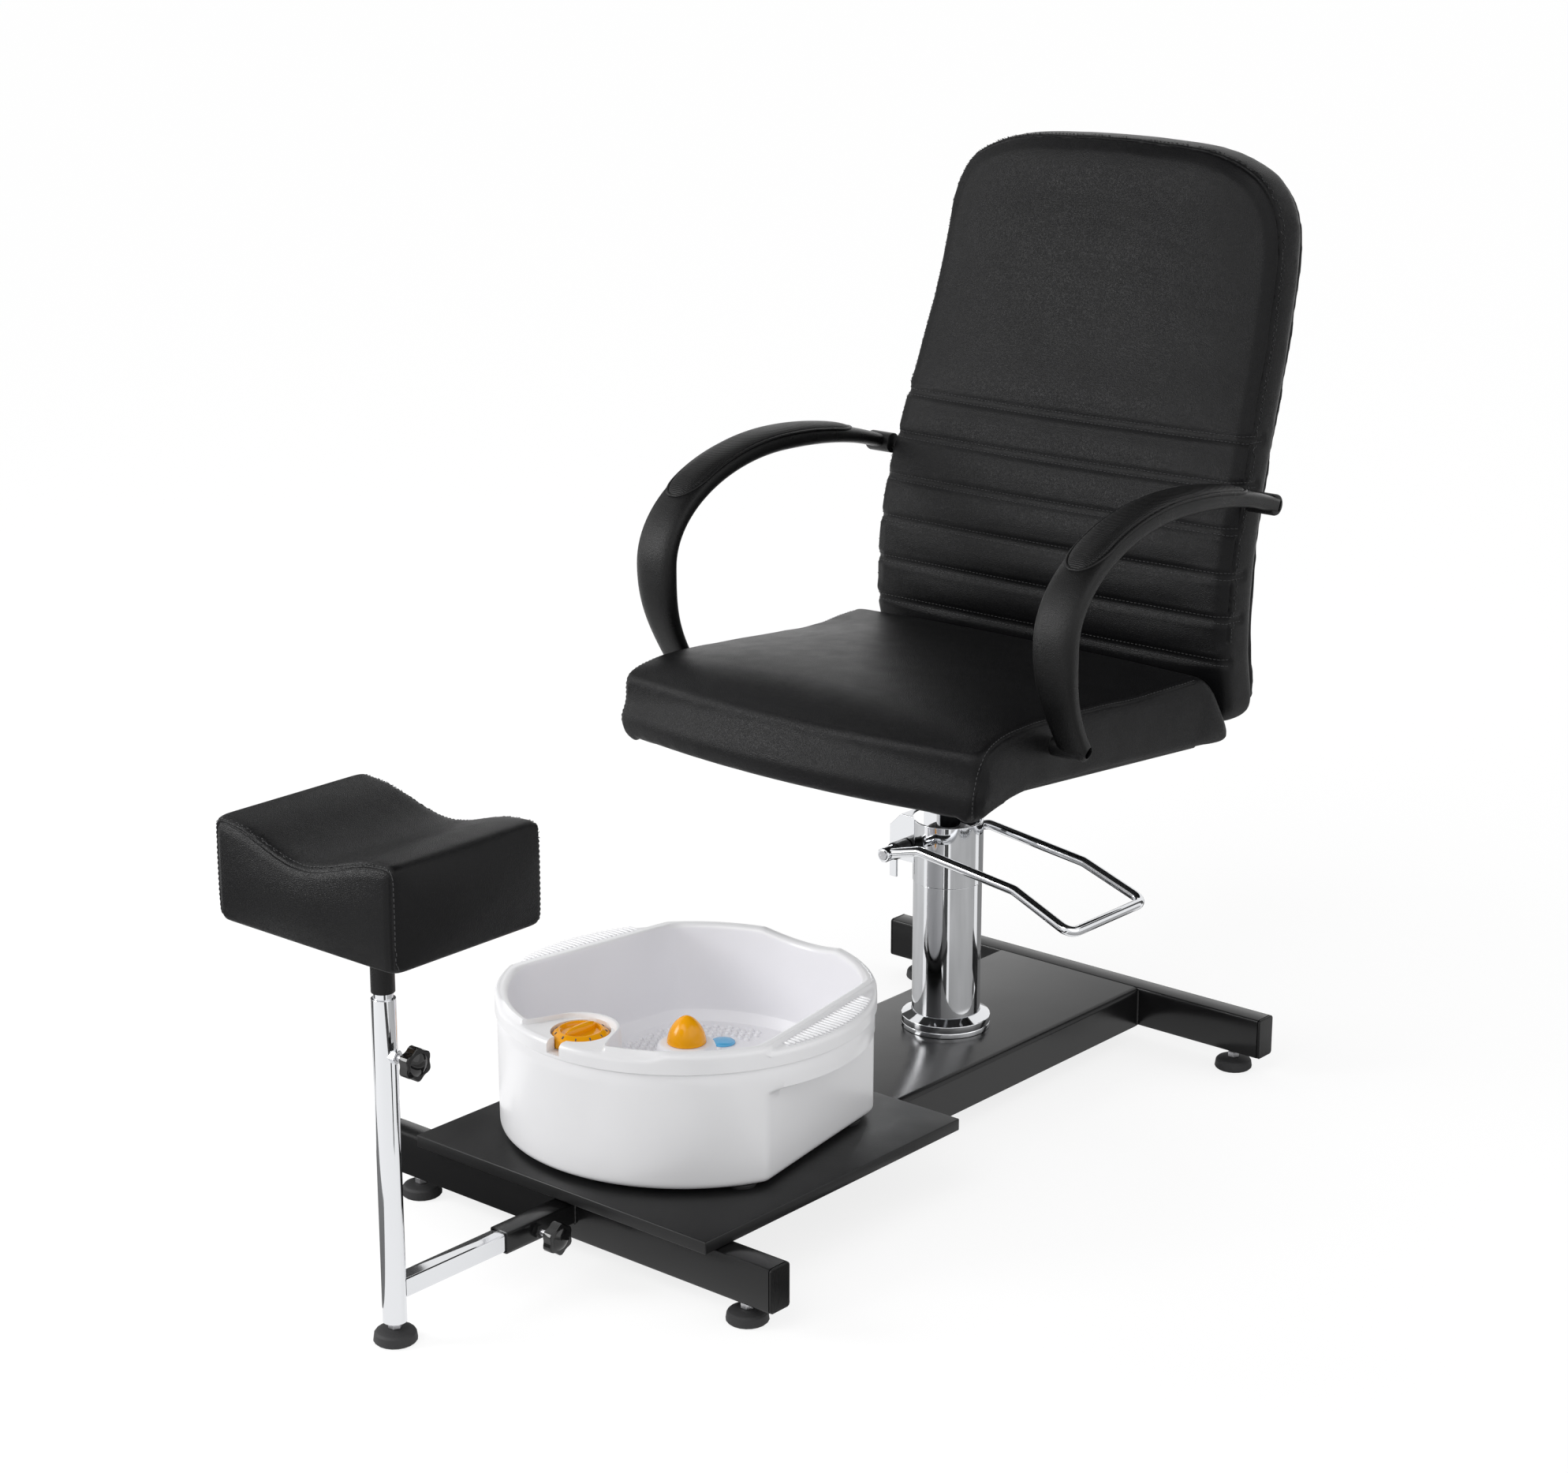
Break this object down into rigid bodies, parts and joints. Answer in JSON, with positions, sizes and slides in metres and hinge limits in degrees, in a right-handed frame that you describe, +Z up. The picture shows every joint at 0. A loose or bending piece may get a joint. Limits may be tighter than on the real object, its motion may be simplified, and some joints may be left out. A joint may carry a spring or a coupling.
{
  "type": "pedicure chair",
  "caption": "Pedicure chair: a hydraulic swivel seat with loop arms on a flat steel base, an adjustable saddle footrest on a pole and a foot tub on a tray.",
  "frame": {"origin": "on the floor, under the middle of the chair's bounding box", "axes": "+Z up, +Y to the chair's rear so that the sitter faces -Y, +X to the sitter's left"},
  "size_m": [0.628, 1.3733, 1.107],
  "materials": {
    "black_powder_coat": "satin black powder coat",
    "black_board": "satin black laminate",
    "black_plastic": "fine grain",
    "gloss_black_plastic": "polished",
    "black_leather": "fine-grained faux leather",
    "black_rubber": "matt",
    "soft_black": "grained soft skin",
    "chrome": "polished",
    "zinc": "zinc plated",
    "cast_black": "black paint",
    "plywood": "raw",
    "white_plastic": "semi-gloss white",
    "orange_plastic": "glossy",
    "blue_lens": "glossy"
  },
  "bodies": {
    "base": {"front_cross_tube": "black_powder_coat", "rear_cross_tube": "black_powder_coat", "end_cap_front_left": "black_plastic", "end_cap_front_right": "black_plastic", "end_cap_rear_left": "black_plastic", "end_cap_rear_right": "black_plastic", "base_beam": "black_powder_coat", "tray_board": "black_board", "arm_sleeve": "black_powder_coat", "pump_flange": "chrome", "pump_cover": "chrome", "pump_collar": "chrome", "pump_body": "cast_black", "pedal_bracket": "chrome"},
    "lift": {"ram": "chrome"},
    "seat": {"seat_hub": "black_powder_coat", "seat_plate": "black_powder_coat", "seat_board": "black_board", "seat_cushion": "black_leather", "back_cushion": "black_leather", "back_panel": "black_leather", "arm_left": "black_plastic", "arm_right": "black_plastic", "arm_pad_left": "soft_black", "arm_pad_right": "soft_black"},
    "pedal": {"pedal_axle": "zinc", "pedal_bar": "chrome", "pedal_bush_front": "black_plastic", "pedal_bush_rear": "black_plastic"},
    "footrest_slide": {"footrest_arm": "chrome", "footrest_pole": "chrome"},
    "footrest_post": {"footrest_post": "chrome"},
    "footrest_head": {"footrest_socket": "black_plastic", "footrest_plate": "black_powder_coat", "footrest_board": "plywood", "footrest_cushion": "black_leather"},
    "pole_knob": {"pole_knob": "gloss_black_plastic", "pole_knob_screw": "zinc"},
    "sleeve_knob": {"sleeve_knob": "gloss_black_plastic", "sleeve_knob_screw": "zinc"},
    "tub": {"tub_shell": "white_plastic", "tub_basin": "white_plastic", "tub_dome": "orange_plastic", "tub_lens": "blue_lens", "tub_foot_front_left": "black_rubber", "tub_foot_front_right": "black_rubber", "tub_foot_rear_left": "black_rubber", "tub_foot_rear_right": "black_rubber"},
    "tub_dial": {"tub_dial": "orange_plastic"},
    "foot_pole": {"foot_pad_pole": "black_rubber", "foot_stud_pole": "zinc"},
    "foot_front_left": {"foot_pad_front_left": "black_rubber", "foot_stud_front_left": "zinc"},
    "foot_front_right": {"foot_pad_front_right": "black_rubber", "foot_stud_front_right": "zinc"},
    "foot_rear_left": {"foot_pad_rear_left": "black_rubber", "foot_stud_rear_left": "zinc"},
    "foot_rear_right": {"foot_pad_rear_right": "black_rubber", "foot_stud_rear_right": "zinc"}
  },
  "joints": [
    {"name": "foot_front_left_turn", "type": "hinge", "parent": "base", "child": "foot_front_left", "pos_m": [0.2405, -0.321, 0], "axis": [0, 0, 1], "continuous": true},
    {"name": "foot_front_right_turn", "type": "hinge", "parent": "base", "child": "foot_front_right", "pos_m": [-0.2405, -0.321, 0], "axis": [0, 0, 1], "continuous": true},
    {"name": "foot_rear_left_turn", "type": "hinge", "parent": "base", "child": "foot_rear_left", "pos_m": [0.2405, 0.582, 0], "axis": [0, 0, 1], "continuous": true},
    {"name": "foot_rear_right_turn", "type": "hinge", "parent": "base", "child": "foot_rear_right", "pos_m": [-0.2405, 0.582, 0], "axis": [0, 0, 1], "continuous": true},
    {"name": "seat_lift", "type": "slide", "parent": "base", "child": "lift", "axis": [0, 0, 1], "range_m": [0, 0.12]},
    {"name": "seat_swivel", "type": "hinge", "parent": "lift", "child": "seat", "pos_m": [0, 0.317, 0.346], "axis": [0, 0, 1], "continuous": true},
    {"name": "pedal_press", "type": "hinge", "parent": "base", "child": "pedal", "pos_m": [-0.0365, 0.317, 0.299], "axis": [0, 1, 0], "range_deg": [0, 20], "stiffness_Nm_per_rad": 5, "springref_deg": -20.05},
    {"name": "footrest_reach", "type": "slide", "parent": "base", "child": "footrest_slide", "axis": [0, 1, 0], "range_m": [-0.05, 0.018]},
    {"name": "foot_pole_turn", "type": "hinge", "parent": "footrest_slide", "child": "foot_pole", "pos_m": [0, -0.5854, 0], "axis": [0, 0, 1], "continuous": true},
    {"name": "footrest_height", "type": "slide", "parent": "footrest_slide", "child": "footrest_post", "axis": [0, 0, 1], "range_m": [-0.005, 0.14]},
    {"name": "footrest_swivel", "type": "hinge", "parent": "footrest_post", "child": "footrest_head", "pos_m": [0, -0.5854, 0.447], "axis": [0, 0, 1], "continuous": true},
    {"name": "pole_knob_turn", "type": "hinge", "parent": "footrest_slide", "child": "pole_knob", "pos_m": [0, -0.5854, 0.311], "axis": [1, 0, 0], "continuous": true},
    {"name": "sleeve_knob_turn", "type": "hinge", "parent": "base", "child": "sleeve_knob", "pos_m": [0, -0.394, 0.0575], "axis": [1, 0, 0], "continuous": true},
    {"name": "tub_lift_off", "type": "slide", "parent": "base", "child": "tub", "axis": [0, 0, 1], "range_m": [0, 0.12]},
    {"name": "dial_turn", "type": "hinge", "parent": "tub", "child": "tub_dial", "pos_m": [-0.017, -0.293, 0.2486], "axis": [0, 0, 1], "range_deg": [0, 270]}
  ]
}
